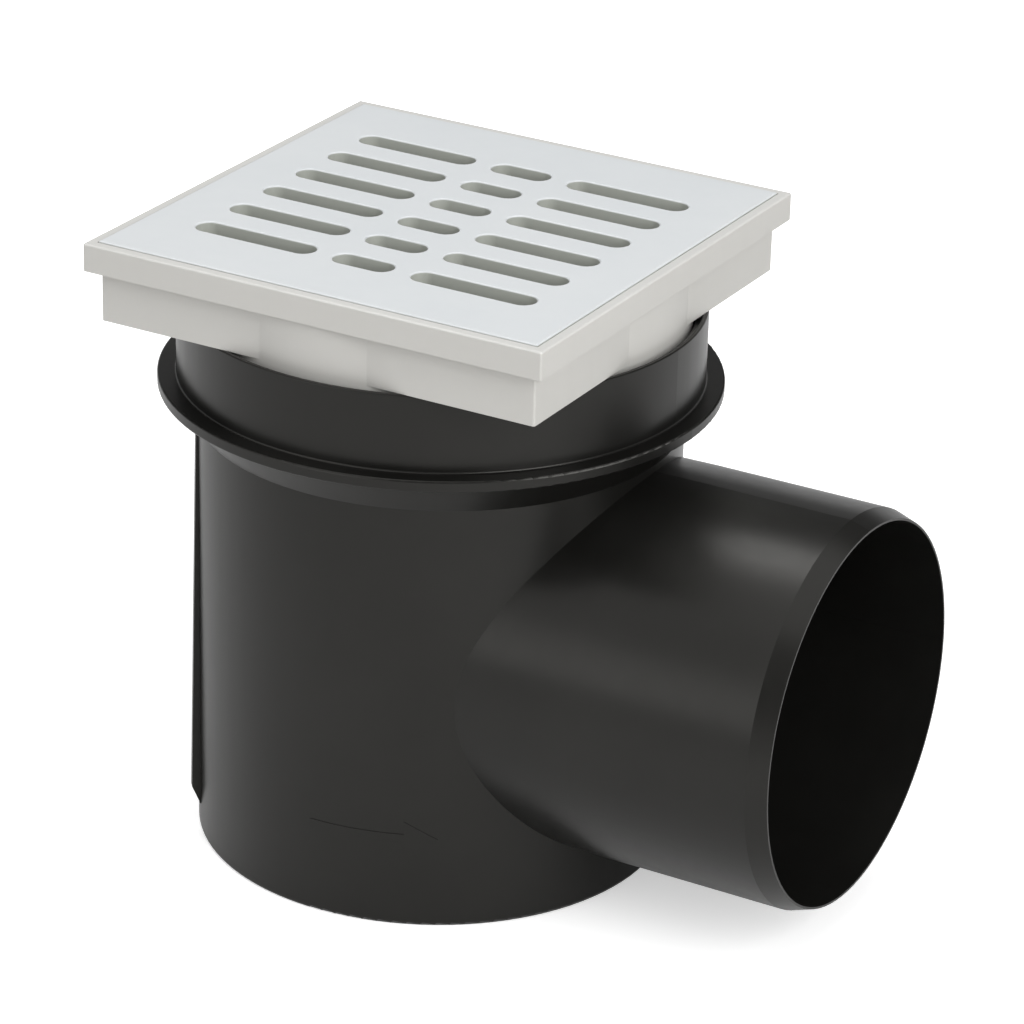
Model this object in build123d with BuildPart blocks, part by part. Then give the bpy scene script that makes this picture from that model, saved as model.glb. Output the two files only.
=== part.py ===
from build123d import *
import os

# A floor gully: a moulded drain body with a side outlet, a top frame that turns and lifts in its neck,
# a slotted grate, and a water trap that lifts out through the frame.
# Millimetres, +Z up, origin at the centre of the base, outlet along +X.

# Top frame
frame_side = 138.0
lip_height = 7.7
lip_rim = 2.7
lip_overhang = 3.45
skirt_height = 14.3
skirt_wall = 2.5
tube_bulge = 2.0
tube_wall = 2.8
tube_drop = 21.0
frame_edge = 0.6

# Grate
grate_thickness = 5.0
grate_proud = 0.4
grate_gap = 0.3
grate_edge = 0.5
slot_width = 7.4
slot_long = 36.5
slot_short = 17.9
slot_bridge = 5.95
slot_rows = 6
slot_pitch = 16.45

# Seal ring between frame and neck
seal_height = 4.0
seal_running = 0.08
seal_end_play = 0.1
seal_waist = 0.5
groove_depth = 1.3
groove_rise = 3.0

# Drain body
neck_gap = 1.0
neck_wall = 3.1
neck_height = 21.3
neck_lead = 2.0
neck_edge = 0.4
flange_width = 5.1
flange_thickness = 3.15
flange_fillet = 0.5
flange_edge = 0.5
shoulder_step = 5.3
shoulder_height = 9.65
body_taper = 0.3
body_wall = 3.0
base_thickness = 3.0
base_edge = 1.2

# Outlet spigot
outlet_radius = 55.0
outlet_wall = 2.4
outlet_reach = 129.6
outlet_floor_gap = 11.0
outlet_cover = 1.9
outlet_draft = 1.2
spigot_length = 52.0
end_bevel_length = 5.6
end_bevel_depth = 1.8

# Rib behind the body
rib_angle = 220.0
rib_width = 2.5
rib_proud = 2.45
rib_top_proud = 0.4
rib_foot = 7.5
rib_slant = 5.7

# Raised flow arrow
arrow_angle = -74.0
arrow_height = 26.6
arrow_length = 35.5
arrow_shaft = 2.4
arrow_head_length = 9.0
arrow_head_width = 10.0
arrow_relief = 0.15

# Seat and gasket of the trap
seat_drop = 1.0
seat_width = 5.0
seat_thickness = 3.0
gasket_thickness = 2.0
gasket_gap = 0.4

# Trap funnel with its dip tube
trap_gap = 1.0
cone_gap = 0.6
funnel_wall = 2.5
funnel_depth = 18.0
dip_radius = 30.0
dip_wall = 2.0
lift_bar_width = 8.0
lift_bar_height = 4.0

# Trap cup, hung on the funnel's hooks
cup_passage = 14.0
cup_wall = 2.0
cup_edge = 3.0
overflow_gap = 14.0
water_seal = 50.0
cup_floor_gap = 15.0
hook_count = 3
hook_start = 60.0
hook_width = 2.0
hook_height = 3.5
hook_gap = 0.7
lug_width = 12.0
lug_reach = 4.8
lug_height = 2.5
lug_drop = 8.0

# Heights from the base
outlet_axis = outlet_floor_gap + outlet_radius
body_height = outlet_axis + outlet_radius + outlet_cover
flange_under = body_height + shoulder_height
flange_top = flange_under + flange_thickness
neck_top = flange_top + neck_height
lip_under = neck_top + skirt_height
frame_top = lip_under + lip_height
grate_seat = frame_top + grate_proud - grate_thickness
tube_end = neck_top - tube_drop
groove_low = tube_end + groove_rise
groove_high = groove_low + seal_height + 2 * seal_end_play
seat_top = body_height - seat_drop
seat_under = seat_top - seat_thickness
flange_seat = seat_top + gasket_thickness
flange_rim = flange_seat + funnel_wall

# Radii from the axis
skirt_side = frame_side - 2 * lip_overhang
recess_side = frame_side - 2 * lip_rim
grate_side = recess_side - 2 * grate_gap
tube_radius = skirt_side / 2 + tube_bulge
tube_bore = tube_radius - tube_wall
groove_radius = tube_radius - groove_depth
neck_bore = tube_radius + neck_gap
neck_radius = neck_bore + neck_wall
flange_radius = neck_radius + flange_width
body_radius = neck_radius - shoulder_step
base_radius = body_radius - body_taper
outlet_bore = outlet_radius - outlet_wall
body_bore = body_radius - body_wall
base_bore = base_radius - body_wall
seat_bore = body_bore - seat_width
trap_radius = body_bore - trap_gap
cone_radius = seat_bore - cone_gap
dip_bore = dip_radius - dip_wall
cup_bore = dip_radius + cup_passage
cup_radius = cup_bore + cup_wall
lug_bore = cup_bore - lug_reach
slot_column = slot_short / 2 + slot_bridge + slot_long / 2

# Straight part of the outlet, along its axis
spigot_end = outlet_reach - end_bevel_length
spigot_root = spigot_end - spigot_length


# Height of the funnel's underside at a distance from the axis
def funnel_under(radius):
    share = (radius - dip_radius) / (cone_radius - dip_radius)
    return flange_seat - funnel_depth * (1 - share)


cup_rim = funnel_under(cup_radius) - overflow_gap
dip_end = cup_rim - water_seal
cup_floor = dip_end - cup_floor_gap
lug_under = cup_rim - lug_drop - lug_height


# Upright plane through the axis, with its first direction outwards at an angle
def radial_plane(angle):
    outwards = Vector(1, 0, 0).rotate(Axis.Z, angle)
    return Plane(origin=(0, 0, 0), x_dir=outwards, z_dir=outwards.cross(Vector(0, 0, 1)))


# Grate: a flat plate with three columns of round-ended slots
with BuildPart() as grate:
    with BuildSketch(Plane.XY.offset(grate_seat)):
        Rectangle(grate_side, grate_side)
        with GridLocations(2 * slot_column, slot_pitch, 2, slot_rows):
            SlotOverall(slot_long, slot_width, mode=Mode.SUBTRACT)
        with GridLocations(0, slot_pitch, 1, slot_rows):
            SlotOverall(slot_short, slot_width, mode=Mode.SUBTRACT)
    extrude(amount=grate_thickness)
    fillet(grate.faces().sort_by(Axis.Z)[-1].edges(), grate_edge)
grate.part.label = "grate"

# Top frame: square lip and skirt, with a round tube that enters the neck
with BuildPart() as top_frame:
    with BuildSketch(Plane.XY.offset(lip_under)):
        Rectangle(frame_side, frame_side)
    extrude(amount=lip_height)
    lip_edges = top_frame.edges().filter_by(Axis.Z) + top_frame.faces().sort_by(Axis.Z)[-1].edges()
    fillet(lip_edges, frame_edge)
    with BuildSketch(Plane.XY.offset(neck_top)):
        RectangleRounded(skirt_side, skirt_side, frame_edge)
    extrude(amount=skirt_height)
    with BuildSketch(Plane.XY.offset(neck_top)):
        Rectangle(skirt_side - 2 * skirt_wall, skirt_side - 2 * skirt_wall)
    extrude(amount=skirt_height, mode=Mode.SUBTRACT)
    with BuildSketch(Plane.XY.offset(tube_end)):
        Circle(tube_radius)
    extrude(amount=lip_under - tube_end)
    with BuildSketch(Plane.XY.offset(grate_seat)):
        Rectangle(recess_side, recess_side)
    extrude(amount=frame_top - grate_seat, mode=Mode.SUBTRACT)
    with BuildSketch(Plane.XY.offset(tube_end)):
        Circle(tube_bore)
    extrude(amount=grate_seat - tube_end, mode=Mode.SUBTRACT)
    with BuildSketch(Plane.XY.offset(groove_low)):
        Circle(tube_radius)
        Circle(groove_radius, mode=Mode.SUBTRACT)
    extrude(amount=groove_high - groove_low, mode=Mode.SUBTRACT)
top_frame.part.label = "top_frame"

# Frame seal: a rubber ring with two lips, in the tube's groove
seal_low = groove_low + seal_end_play
seal_inner = groove_radius + seal_running
seal_outer = neck_bore - seal_running
with BuildPart() as frame_seal:
    with BuildSketch(Plane.XZ):
        with BuildLine():
            Polyline(
                (seal_inner, seal_low),
                (seal_outer, seal_low),
                (seal_outer, seal_low + seal_height / 4),
                (seal_outer - seal_waist, seal_low + seal_height / 2),
                (seal_outer, seal_low + seal_height * 3 / 4),
                (seal_outer, seal_low + seal_height),
                (seal_inner, seal_low + seal_height),
                close=True,
            )
        make_face()
    revolve(axis=Axis.Z)
frame_seal.part.label = "frame_seal"

# Flow arrow: a thin raised shape that follows the body's wall and points to the outlet
arrow_outwards = Vector(1, 0, 0).rotate(Axis.Z, arrow_angle)
arrow_along = Vector(0, 0, 1).cross(arrow_outwards)
arrow_tip = arrow_length / 2
arrow_neck = arrow_tip - arrow_head_length
with BuildPart() as flow_arrow:
    with BuildSketch(Plane(origin=(0, 0, arrow_height), x_dir=arrow_along, z_dir=arrow_outwards)):
        with BuildLine():
            Polyline(
                (-arrow_tip, -arrow_shaft / 2),
                (arrow_neck, -arrow_shaft / 2),
                (arrow_neck, -arrow_head_width / 2),
                (arrow_tip, 0),
                (arrow_neck, arrow_head_width / 2),
                (arrow_neck, arrow_shaft / 2),
                (-arrow_tip, arrow_shaft / 2),
                close=True,
            )
        make_face()
    extrude(amount=body_radius + arrow_relief)
    with BuildSketch(Plane.XZ):
        with BuildLine():
            Polyline(
                (0, 0),
                (base_radius + arrow_relief, 0),
                (body_radius + arrow_relief, body_height),
                (0, body_height),
                close=True,
            )
        make_face()
    revolve(axis=Axis.Z, mode=Mode.INTERSECT)

# Drain body: one moulding with neck, flange, side outlet and the trap's seat
with BuildPart() as drain_body:
    with BuildSketch(Plane.XZ):
        with BuildLine():
            Polyline(
                (0, 0),
                (base_radius, 0),
                (body_radius, body_height),
                (neck_radius, flange_under),
                (flange_radius, flange_under),
                (flange_radius, flange_top),
                (neck_radius, flange_top),
                (neck_radius, neck_top),
                (0, neck_top),
                close=True,
            )
        make_face()
    revolve(axis=Axis.Z)
    base_rim = drain_body.edges().filter_by(GeomType.CIRCLE).sort_by(Axis.Z)[0]
    fillet(base_rim, base_edge)
    neck_rim = drain_body.edges().filter_by(GeomType.CIRCLE).sort_by(Axis.Z)[-1]
    fillet(neck_rim, neck_edge)
    flange_rims = drain_body.edges().filter_by(GeomType.CIRCLE).filter_by_position(
        Axis.Z, flange_under, flange_top
    )
    neck_root = flange_rims.group_by(Axis.Z)[-1].sort_by(SortBy.RADIUS)[0]
    fillet(neck_root, flange_fillet)
    outer_rims = drain_body.edges().filter_by(GeomType.CIRCLE).group_by(SortBy.RADIUS)[-1]
    fillet(outer_rims, flange_edge)
    with BuildSketch(Plane.XZ):
        with BuildLine():
            Polyline(
                (0, outlet_axis),
                (0, outlet_axis + outlet_radius - outlet_draft),
                (spigot_root, outlet_axis + outlet_radius),
                (spigot_end, outlet_axis + outlet_radius),
                (outlet_reach, outlet_axis + outlet_radius - end_bevel_depth),
                (outlet_reach, outlet_axis),
                close=True,
            )
        make_face()
    revolve(axis=Axis((0, 0, outlet_axis), (1, 0, 0)))
    with BuildSketch(radial_plane(rib_angle)):
        with BuildLine():
            Polyline(
                (base_bore, rib_foot),
                (base_radius, rib_foot),
                (base_radius + rib_proud, rib_foot + rib_slant),
                (body_radius + rib_top_proud, flange_under),
                (base_bore, flange_under),
                close=True,
            )
        make_face()
    extrude(amount=rib_width / 2, both=True)
    add(flow_arrow.part)
    with BuildSketch(Plane.XZ):
        with BuildLine():
            Polyline(
                (0, base_thickness),
                (base_bore, base_thickness),
                (body_bore, seat_under),
                (seat_bore, seat_under),
                (seat_bore, seat_top),
                (body_bore, seat_top),
                (body_bore, body_height),
                (neck_bore, flange_under),
                (neck_bore, neck_top - neck_lead),
                (neck_bore + neck_lead, neck_top),
                (0, neck_top),
                close=True,
            )
        make_face()
    revolve(axis=Axis.Z, mode=Mode.SUBTRACT)
    with BuildSketch(Plane.YZ):
        with Locations((0, outlet_axis)):
            Circle(outlet_bore)
    extrude(amount=outlet_reach, mode=Mode.SUBTRACT)
drain_body.part.label = "drain_body"

# Trap gasket: a flat rubber ring on the body's seat
with BuildPart() as trap_gasket:
    with BuildSketch(Plane.XY.offset(seat_top)):
        Circle(trap_radius)
        Circle(seat_bore + gasket_gap, mode=Mode.SUBTRACT)
    extrude(amount=gasket_thickness)
trap_gasket.part.label = "trap_gasket"

# Trap funnel: rim, cone and dip tube, with a lifting bar and the hooks that carry the cup
hook_radius = cup_bore - hook_gap
fin_radius = lug_bore - hook_gap
fin_root = (dip_bore + dip_radius) / 2
fin_sink = funnel_wall / 2
with BuildPart() as trap_funnel:
    with BuildSketch(Plane.XZ):
        with BuildLine():
            Polyline(
                (dip_bore, dip_end),
                (dip_radius, dip_end),
                (dip_radius, funnel_under(dip_radius)),
                (cone_radius, flange_seat),
                (trap_radius, flange_seat),
                (trap_radius, flange_rim),
                (cone_radius, flange_rim),
                (dip_bore, funnel_under(dip_bore) + funnel_wall),
                close=True,
            )
        make_face()
    revolve(axis=Axis.Z)
    for hook in range(hook_count):
        with BuildSketch(radial_plane(hook_start + hook * 360 / hook_count)):
            with BuildLine():
                Polyline(
                    (fin_root, lug_under - hook_height),
                    (hook_radius, lug_under - hook_height),
                    (hook_radius, lug_under),
                    (fin_radius, lug_under),
                    (fin_radius, funnel_under(fin_radius) + fin_sink),
                    (fin_root, funnel_under(fin_root) + fin_sink),
                    close=True,
                )
            make_face()
        extrude(amount=hook_width / 2, both=True)
    with BuildSketch(Plane.XY.offset(flange_rim - lift_bar_height)):
        Rectangle(lift_bar_width, 2 * cone_radius)
    extrude(amount=lift_bar_height)
trap_funnel.part.label = "trap_funnel"

# Trap cup: holds the water seal round the dip tube
with BuildPart() as trap_cup:
    with BuildSketch(Plane.XY.offset(cup_floor - cup_wall)):
        Circle(cup_radius)
    extrude(amount=cup_rim - cup_floor + cup_wall)
    fillet(trap_cup.faces().sort_by(Axis.Z)[0].edges(), cup_edge)
    with BuildSketch(Plane.XY.offset(cup_floor)):
        Circle(cup_bore)
    extrude(amount=cup_rim - cup_floor, mode=Mode.SUBTRACT)
    with BuildSketch(Plane.XY.offset(lug_under)):
        with PolarLocations((lug_bore + cup_bore + cup_wall / 2) / 2, hook_count, start_angle=hook_start):
            Rectangle(lug_reach + cup_wall / 2, lug_width)
    extrude(amount=lug_height)
trap_cup.part.label = "trap_cup"

# One STEP file for each piece
os.makedirs("parts", exist_ok=True)
for piece in (grate, top_frame, frame_seal, drain_body, trap_gasket, trap_funnel, trap_cup):
    export_step(piece.part, f"parts/{piece.part.label}.step")
    print(piece.part.label, round(piece.part.volume))
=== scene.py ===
import bpy
import math
from mathutils import Matrix, Vector

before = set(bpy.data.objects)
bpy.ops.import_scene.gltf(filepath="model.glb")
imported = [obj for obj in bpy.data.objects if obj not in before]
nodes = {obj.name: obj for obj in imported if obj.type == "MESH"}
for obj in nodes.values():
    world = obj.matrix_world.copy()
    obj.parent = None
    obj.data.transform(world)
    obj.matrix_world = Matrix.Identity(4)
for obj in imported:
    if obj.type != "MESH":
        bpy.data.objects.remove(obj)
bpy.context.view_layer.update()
scene = bpy.context.scene
print("frame loaded:", sorted(nodes))


# shared effects

effects = {
    "noiseSpread": (0.35, 0.65),  # where most noise values lie
    "drawStretch": 0.03,  # the draw marks' scale along Z, so they stand upright
    "cloudShare": 0.6,  # of the roughness; draw marks give the rest
    "dustSpread": (0.45, 0.75),
    "dustSlope": (0.2, 1.0),  # the normal's Z from no dust to full dust
    "paintedShadeSlope": (0.0, 0.55),  # the normal's Z from upright wall, full painted shade, to open face, no painted shade
}


def newGroup(name, inputs, outputs):
    group = bpy.data.node_groups.new(name, "ShaderNodeTree")
    for label, kind, value in inputs:
        socket = group.interface.new_socket(label, in_out="INPUT", socket_type=kind)
        if value is not None:
            socket.default_value = value
    for label, kind in outputs:
        group.interface.new_socket(label, in_out="OUTPUT", socket_type=kind)
    start = group.nodes.new("NodeGroupInput")
    end = group.nodes.new("NodeGroupOutput")
    return group, start, end


def addNoise(tree, vector, scale, detail, roughness=0.5):
    noise = tree.nodes.new("ShaderNodeTexNoise")
    noise.inputs["Detail"].default_value = detail
    noise.inputs["Roughness"].default_value = roughness
    tree.links.new(vector, noise.inputs["Vector"])
    tree.links.new(scale, noise.inputs["Scale"])
    return noise.outputs["Fac"]


def addMath(tree, operation, first, second):
    step = tree.nodes.new("ShaderNodeMath")
    step.operation = operation
    for socket, value in zip(step.inputs, (first, second)):
        if isinstance(value, (int, float)):
            socket.default_value = value
        else:
            tree.links.new(value, socket)
    return step.outputs["Value"]


def addRange(tree, value, low, high, toLow, toHigh):
    spread = tree.nodes.new("ShaderNodeMapRange")
    spread.inputs["From Min"].default_value = low
    spread.inputs["From Max"].default_value = high
    tree.links.new(value, spread.inputs["Value"])
    for label, amount in (("To Min", toLow), ("To Max", toHigh)):
        if isinstance(amount, (int, float)):
            spread.inputs[label].default_value = amount
        else:
            tree.links.new(amount, spread.inputs[label])
    return spread.outputs["Result"]


def makeMouldedSkin():
    # cloudy colour, fine grain and upright draw marks, as on injection-moulded plastic
    group, start, end = newGroup(
        "mouldedSkin",
        [
            ("Vector", "NodeSocketVector", None),
            ("Colour", "NodeSocketColor", (0.5, 0.5, 0.5, 1)),
            ("Cloud Colour", "NodeSocketColor", (0.45, 0.45, 0.45, 1)),
            ("Cloud Scale", "NodeSocketFloat", 30.0),
            ("Grain Scale", "NodeSocketFloat", 1400.0),
            ("Streak Scale", "NodeSocketFloat", 260.0),
            ("Smooth", "NodeSocketFloat", 0.35),
            ("Rough", "NodeSocketFloat", 0.5),
            ("Grain Depth", "NodeSocketFloat", 0.3),
            ("Streak Depth", "NodeSocketFloat", 0.2),
            ("Cloud Depth", "NodeSocketFloat", 0.5),
        ],
        [("Colour", "NodeSocketColor"), ("Roughness", "NodeSocketFloat"), ("Height", "NodeSocketFloat")],
    )
    vector = start.outputs["Vector"]
    cloud = addNoise(group, vector, start.outputs["Cloud Scale"], detail=4.0, roughness=0.55)
    grain = addNoise(group, vector, start.outputs["Grain Scale"], detail=2.0)
    stretch = group.nodes.new("ShaderNodeMapping")
    stretch.inputs["Scale"].default_value = (1.0, 1.0, effects["drawStretch"])
    group.links.new(vector, stretch.inputs["Vector"])
    streak = addNoise(group, stretch.outputs["Vector"], start.outputs["Streak Scale"], detail=3.0)
    blend = group.nodes.new("ShaderNodeMix")
    blend.data_type = "RGBA"
    group.links.new(addRange(group, cloud, *effects["noiseSpread"], 0.0, 1.0), blend.inputs["Factor"])
    group.links.new(start.outputs["Colour"], blend.inputs["A"])
    group.links.new(start.outputs["Cloud Colour"], blend.inputs["B"])
    group.links.new(blend.outputs["Result"], end.inputs["Colour"])
    mixed = addMath(
        group,
        "ADD",
        addMath(group, "MULTIPLY", cloud, effects["cloudShare"]),
        addMath(group, "MULTIPLY", streak, 1 - effects["cloudShare"]),
    )
    rough = addRange(
        group, mixed, *effects["noiseSpread"], start.outputs["Smooth"], start.outputs["Rough"]
    )
    group.links.new(rough, end.inputs["Roughness"])
    height = addMath(
        group,
        "ADD",
        addMath(group, "MULTIPLY", grain, start.outputs["Grain Depth"]),
        addMath(group, "MULTIPLY", streak, start.outputs["Streak Depth"]),
    )
    height = addMath(group, "ADD", height, addMath(group, "MULTIPLY", cloud, start.outputs["Cloud Depth"]))
    group.links.new(height, end.inputs["Height"])
    return group


def makeDust():
    # pale settled dust that gathers on upward faces
    group, start, end = newGroup(
        "settledDust",
        [
            ("Vector", "NodeSocketVector", None),
            ("Normal", "NodeSocketVector", None),
            ("Scale", "NodeSocketFloat", 90.0),
            ("Amount", "NodeSocketFloat", 0.2),
        ],
        [("Mask", "NodeSocketFloat")],
    )
    patches = addNoise(group, start.outputs["Vector"], start.outputs["Scale"], detail=5.0, roughness=0.65)
    split = group.nodes.new("ShaderNodeSeparateXYZ")
    group.links.new(start.outputs["Normal"], split.inputs["Vector"])
    upward = addRange(group, split.outputs["Z"], *effects["dustSlope"], 0.0, 1.0)
    settled = addRange(group, patches, *effects["dustSpread"], 0.0, 1.0)
    mask = addMath(group, "MULTIPLY", settled, upward)
    group.links.new(addMath(group, "MULTIPLY", mask, start.outputs["Amount"]), end.inputs["Mask"])
    return group


def makePaintedWallShade():
    # painted shade: upright faces get a darker colour than the upward faces, standing in for the shade
    # that falls on them
    group, start, end = newGroup(
        "paintedWallShade",
        [
            ("Normal", "NodeSocketVector", None),
            ("Colour", "NodeSocketColor", (0.7, 0.7, 0.7, 1)),
            ("Painted Shade Colour", "NodeSocketColor", (0.3, 0.3, 0.28, 1)),
        ],
        [("Colour", "NodeSocketColor")],
    )
    split = group.nodes.new("ShaderNodeSeparateXYZ")
    group.links.new(start.outputs["Normal"], split.inputs["Vector"])
    blend = group.nodes.new("ShaderNodeMix")
    blend.data_type = "RGBA"
    upright = addRange(group, split.outputs["Z"], *effects["paintedShadeSlope"], 1.0, 0.0)
    group.links.new(upright, blend.inputs["Factor"])
    group.links.new(start.outputs["Colour"], blend.inputs["A"])
    group.links.new(start.outputs["Painted Shade Colour"], blend.inputs["B"])
    group.links.new(blend.outputs["Result"], end.inputs["Colour"])
    return group


mouldedSkin = makeMouldedSkin()
settledDust = makeDust()
paintedWallShade = makePaintedWallShade()
print("shared effects ready")


# materials

def addGroup(material, group, values):
    placed = material.node_tree.nodes.new("ShaderNodeGroup")
    placed.node_tree = group
    for label, value in values.items():
        placed.inputs[label].default_value = value
    return placed


def makePlastic(name, look):
    material = bpy.data.materials.new(name)
    material.use_nodes = True
    tree = material.node_tree
    shader = tree.nodes["Principled BSDF"]
    place = tree.nodes.new("ShaderNodeTexCoord")
    skin = addGroup(material, mouldedSkin, look["skin"])
    tree.links.new(place.outputs["Object"], skin.inputs["Vector"])
    colour = skin.outputs["Colour"]
    if "dust" in look:
        dust = addGroup(material, settledDust, {"Amount": look["dust"]})
        tree.links.new(place.outputs["Object"], dust.inputs["Vector"])
        shape = tree.nodes.new("ShaderNodeNewGeometry")
        tree.links.new(shape.outputs["Normal"], dust.inputs["Normal"])
        cover = tree.nodes.new("ShaderNodeMix")
        cover.data_type = "RGBA"
        cover.inputs["B"].default_value = look["dustColour"]
        tree.links.new(dust.outputs["Mask"], cover.inputs["Factor"])
        tree.links.new(colour, cover.inputs["A"])
        colour = cover.outputs["Result"]
    # painted shade on upright faces, chosen by the true normal's Z
    if "paintedShadeColour" in look:
        wallShade = addGroup(material, paintedWallShade, {"Painted Shade Colour": look["paintedShadeColour"]})
        flat = tree.nodes.new("ShaderNodeNewGeometry")
        tree.links.new(flat.outputs["True Normal"], wallShade.inputs["Normal"])
        tree.links.new(colour, wallShade.inputs["Colour"])
        colour = wallShade.outputs["Colour"]
    tree.links.new(colour, shader.inputs["Base Color"])
    tree.links.new(skin.outputs["Roughness"], shader.inputs["Roughness"])
    bump = tree.nodes.new("ShaderNodeBump")
    bump.inputs["Strength"].default_value = look["bump"]
    bump.inputs["Distance"].default_value = look["bumpDistance"]
    tree.links.new(skin.outputs["Height"], bump.inputs["Height"])
    tree.links.new(bump.outputs["Normal"], shader.inputs["Normal"])
    shader.inputs["Specular IOR Level"].default_value = look["specular"]
    shader.inputs["IOR"].default_value = look["ior"]
    shader.inputs["Specular Tint"].default_value = look.get("tint", (1, 1, 1, 1))
    return material


def dress(nodeName, material):
    mesh = nodes[nodeName].data
    mesh.materials.clear()
    mesh.materials.append(material)


bodyLook = {
    "skin": {
        "Colour": (0.0060, 0.0058, 0.0053, 1),
        "Cloud Colour": (0.0082, 0.0080, 0.0073, 1),
        "Cloud Scale": 24.0,
        "Grain Scale": 1500.0,
        "Streak Scale": 300.0,
        "Smooth": 0.28,
        "Rough": 0.33,
        "Grain Depth": 0.04,
        "Streak Depth": 0.02,
        "Cloud Depth": 1.0,
    },
    "bump": 0.35,
    "bumpDistance": 0.0002,
    "specular": 0.30,
    "ior": 1.49,
    "tint": (1.0, 0.985, 0.94, 1),
}
frameLook = {
    "skin": {
        "Colour": (0.565, 0.560, 0.540, 1),
        "Cloud Colour": (0.540, 0.535, 0.515, 1),
        "Cloud Scale": 30.0,
        "Grain Scale": 1800.0,
        "Streak Scale": 240.0,
        "Smooth": 0.42,
        "Rough": 0.55,
        "Grain Depth": 0.15,
        "Streak Depth": 0.10,
        "Cloud Depth": 0.6,
    },
    "bump": 0.4,
    "bumpDistance": 0.0002,
    "specular": 0.5,
    "ior": 1.5,
    # painted shade: the frame's upright faces darker than its top
    "paintedShadeColour": (0.478, 0.470, 0.446, 1),
}
grateLook = {
    "skin": {
        "Colour": (0.600, 0.620, 0.631, 1),
        "Cloud Colour": (0.573, 0.595, 0.608, 1),
        "Cloud Scale": 26.0,
        "Grain Scale": 1600.0,
        "Streak Scale": 200.0,
        "Smooth": 0.46,
        "Rough": 0.60,
        "Grain Depth": 0.22,
        "Streak Depth": 0.0,
        "Cloud Depth": 0.5,
    },
    "bump": 0.4,
    "bumpDistance": 0.0002,
    "specular": 0.5,
    "ior": 1.5,
    # painted shade: the slot walls and sides darker and greener than the top
    "paintedShadeColour": (0.395, 0.410, 0.372, 1),
}
trapLook = {
    "skin": {
        "Colour": (0.020, 0.020, 0.020, 1),
        "Cloud Colour": (0.030, 0.030, 0.029, 1),
        "Cloud Scale": 40.0,
        "Grain Scale": 1500.0,
        "Streak Scale": 260.0,
        "Smooth": 0.40,
        "Rough": 0.56,
        "Grain Depth": 0.20,
        "Streak Depth": 0.15,
        "Cloud Depth": 0.6,
    },
    "bump": 0.5,
    "bumpDistance": 0.0002,
    "specular": 0.4,
    "ior": 1.49,
    "dust": 0.05,
    "dustColour": (0.12, 0.118, 0.11, 1),
}
rubberLook = {
    "skin": {
        "Colour": (0.010, 0.010, 0.010, 1),
        "Cloud Colour": (0.018, 0.018, 0.017, 1),
        "Cloud Scale": 70.0,
        "Grain Scale": 2200.0,
        "Streak Scale": 300.0,
        "Smooth": 0.62,
        "Rough": 0.80,
        "Grain Depth": 0.35,
        "Streak Depth": 0.0,
        "Cloud Depth": 0.4,
    },
    "bump": 0.6,
    "bumpDistance": 0.0002,
    "specular": 0.3,
    "ior": 1.5,
}

dress("drain_body", makePlastic("blackBodyPlastic", bodyLook))
dress("top_frame", makePlastic("warmGreyFramePlastic", frameLook))
dress("grate", makePlastic("palePlatePlastic", grateLook))
trapPlastic = makePlastic("darkTrapPlastic", trapLook)
dress("trap_funnel", trapPlastic)
dress("trap_cup", trapPlastic)
rubber = makePlastic("blackSealRubber", rubberLook)
dress("frame_seal", rubber)
dress("trap_gasket", rubber)
print("materials on", len(nodes), "pieces")


# floor, light and camera

studio = {
    "floorSide": 8.0,
    "floorColour": (0.86, 0.86, 0.86, 1),
    "floorRoughness": 0.9,
    "floorLift": 0.50,  # to the camera, near the part
    "floorReach": (0.35, 1.0),  # over this distance the floor turns plain white to the camera
    "floorGloss": 0.13,  # in reflections
    "skyStrength": 0.18,
    "vaultRise": (0.05, 0.30),  # gloss sees the sky dim from its white horizon between these heights
    "vaultStrength": 0.14,
    "lamps": [
        # name, place, size, watts
        ("overheadSoftbox", (0.1, -0.1, 1.25), 1.3, 7.2),
        ("rightSoftbox", (1.2, -0.5, 0.75), 0.9, 17.0),
        ("leftSoftbox", (-0.75, -1.10, 0.95), 1.7, 9.0),
        ("lowSoftbox", (-0.42, -1.15, 0.40), 0.5, 0.8),
        ("topStrip", (-0.50, 0.30, 1.2), 0.45, 3.3),
    ],
    "aim": (0.03, 0.0, 0.10),
}


def makeFloor():
    bpy.ops.object.select_all(action="DESELECT")
    bpy.ops.mesh.primitive_plane_add(size=studio["floorSide"])
    floor = bpy.context.object
    floor.name = "studioFloor"
    material = bpy.data.materials.new("paleFloor")
    material.use_nodes = True
    tree = material.node_tree
    shader = tree.nodes["Principled BSDF"]
    shader.inputs["Base Color"].default_value = studio["floorColour"]
    shader.inputs["Roughness"].default_value = studio["floorRoughness"]
    shader.inputs["Specular IOR Level"].default_value = 0.0
    rays = tree.nodes.new("ShaderNodeLightPath")
    mirrored = addMath(tree, "MAXIMUM", rays.outputs["Is Glossy Ray"], rays.outputs["Is Transmission Ray"])
    lift = addMath(tree, "MULTIPLY", mirrored, studio["floorGloss"])
    place = tree.nodes.new("ShaderNodeTexCoord")
    distance = tree.nodes.new("ShaderNodeVectorMath")
    distance.operation = "LENGTH"
    tree.links.new(place.outputs["Object"], distance.inputs[0])
    shown = addRange(tree, distance.outputs["Value"], *studio["floorReach"], studio["floorLift"], 1.0)
    lift = addRange(tree, rays.outputs["Is Camera Ray"], 0.0, 1.0, lift, shown)
    shader.inputs["Emission Color"].default_value = (1, 1, 1, 1)
    tree.links.new(lift, shader.inputs["Emission Strength"])
    floor.data.materials.append(material)


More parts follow.
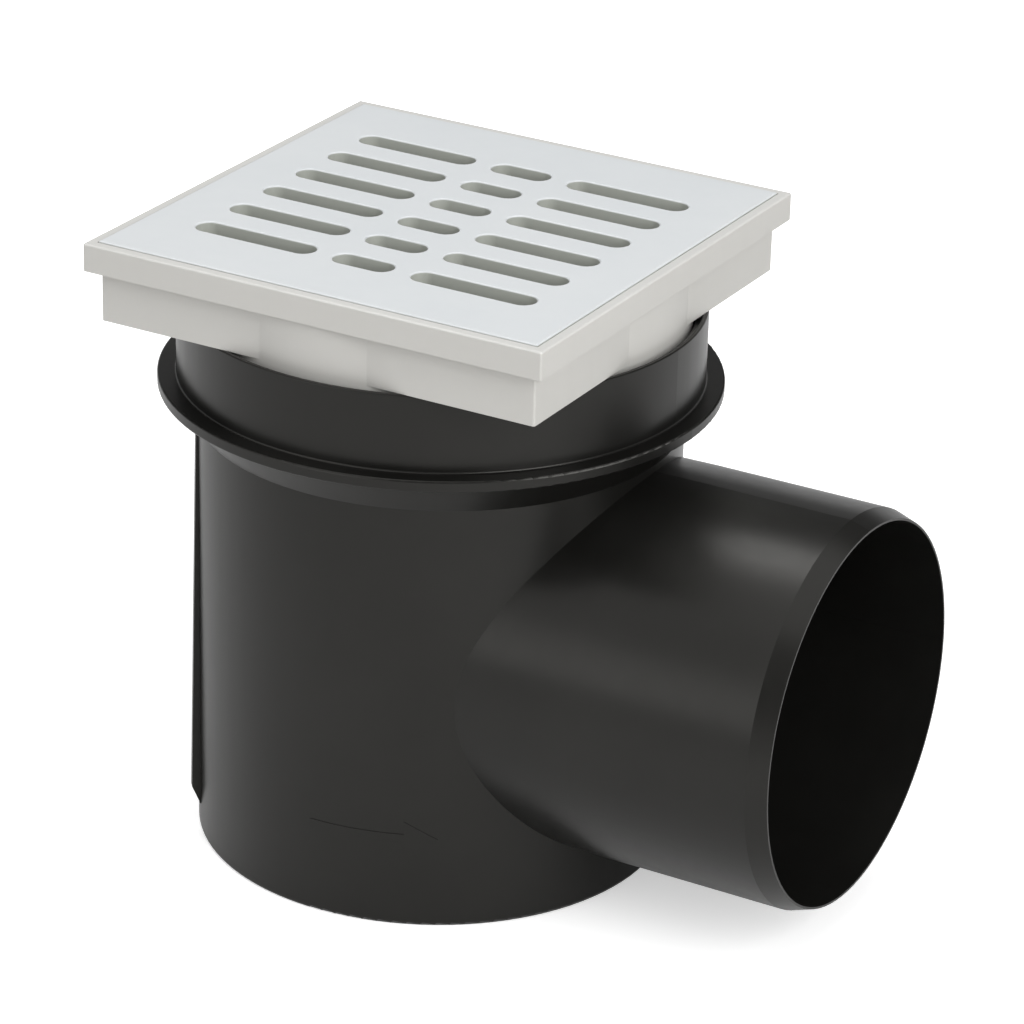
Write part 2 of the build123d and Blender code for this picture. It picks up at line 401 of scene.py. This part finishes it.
def makeSky():
    world = bpy.data.worlds.new("whiteStudio")
    scene.world = world
    world.use_nodes = True
    tree = world.node_tree
    sky = tree.nodes["Background"]
    sky.inputs["Color"].default_value = (1, 1, 1, 1)
    rays = tree.nodes.new("ShaderNodeLightPath")
    mirrored = addMath(tree, "MAXIMUM", rays.outputs["Is Glossy Ray"], rays.outputs["Is Transmission Ray"])
    place = tree.nodes.new("ShaderNodeTexCoord")
    split = tree.nodes.new("ShaderNodeSeparateXYZ")
    tree.links.new(place.outputs["Generated"], split.inputs["Vector"])  # direction, Z is up
    vault = addRange(tree, split.outputs["Z"], *studio["vaultRise"], 1.0, studio["vaultStrength"])
    strength = addRange(tree, mirrored, 0.0, 1.0, studio["skyStrength"], vault)
    strength = addRange(tree, rays.outputs["Is Camera Ray"], 0.0, 1.0, strength, 1.0)
    tree.links.new(strength, sky.inputs["Strength"])


def makeLamps():
    for name, place, size, watts in studio["lamps"]:
        lamp = bpy.data.lights.new(name, "AREA")
        lamp.size = size
        lamp.energy = watts
        holder = bpy.data.objects.new(name, lamp)
        holder.location = place
        holder.visible_camera = False
        aim = Vector(studio["aim"]) - Vector(place)
        holder.rotation_euler = aim.to_track_quat("-Z", "Y").to_euler()
        scene.collection.objects.link(holder)


makeFloor()
makeSky()
makeLamps()
scene.view_settings.view_transform = "Standard"
print("studio ready")

# the photograph's view, in metres and degrees
shot = {
    "azimuth": 30.307,
    "reach": 1.1281,  # level distance from the body's axis
    "height": 0.5996,
    "aimSide": 0.0201,
    "aimHeight": 0.0933,
    "roll": 1.512,
    "focalPixels": 4504.5,
    "imagePixels": 1024.0,
    "sensor": 36.0,  # millimetres
    "farClip": 50.0,
}


def makeCamera():
    turn = math.radians(shot["azimuth"])
    sideways = Vector((math.cos(turn), math.sin(turn), 0))
    eye = Vector((shot["reach"] * math.sin(turn), -shot["reach"] * math.cos(turn), shot["height"]))
    target = sideways * shot["aimSide"] + Vector((0, 0, shot["aimHeight"]))
    back = (eye - target).normalized()
    right = Vector((0, 0, 1)).cross(back).normalized()
    up = back.cross(right)
    upright = Matrix((right, up, back)).transposed()
    tilted = upright @ Matrix.Rotation(math.radians(shot["roll"]), 3, "Z")
    lens = bpy.data.cameras.new("photoCamera")
    lens.sensor_width = shot["sensor"]
    lens.lens = shot["focalPixels"] / shot["imagePixels"] * shot["sensor"]
    lens.clip_end = shot["farClip"]
    camera = bpy.data.objects.new("photoCamera", lens)
    camera.matrix_world = Matrix.Translation(eye) @ tilted.to_4x4()
    scene.collection.objects.link(camera)
    scene.camera = camera


makeCamera()
print("camera ready")
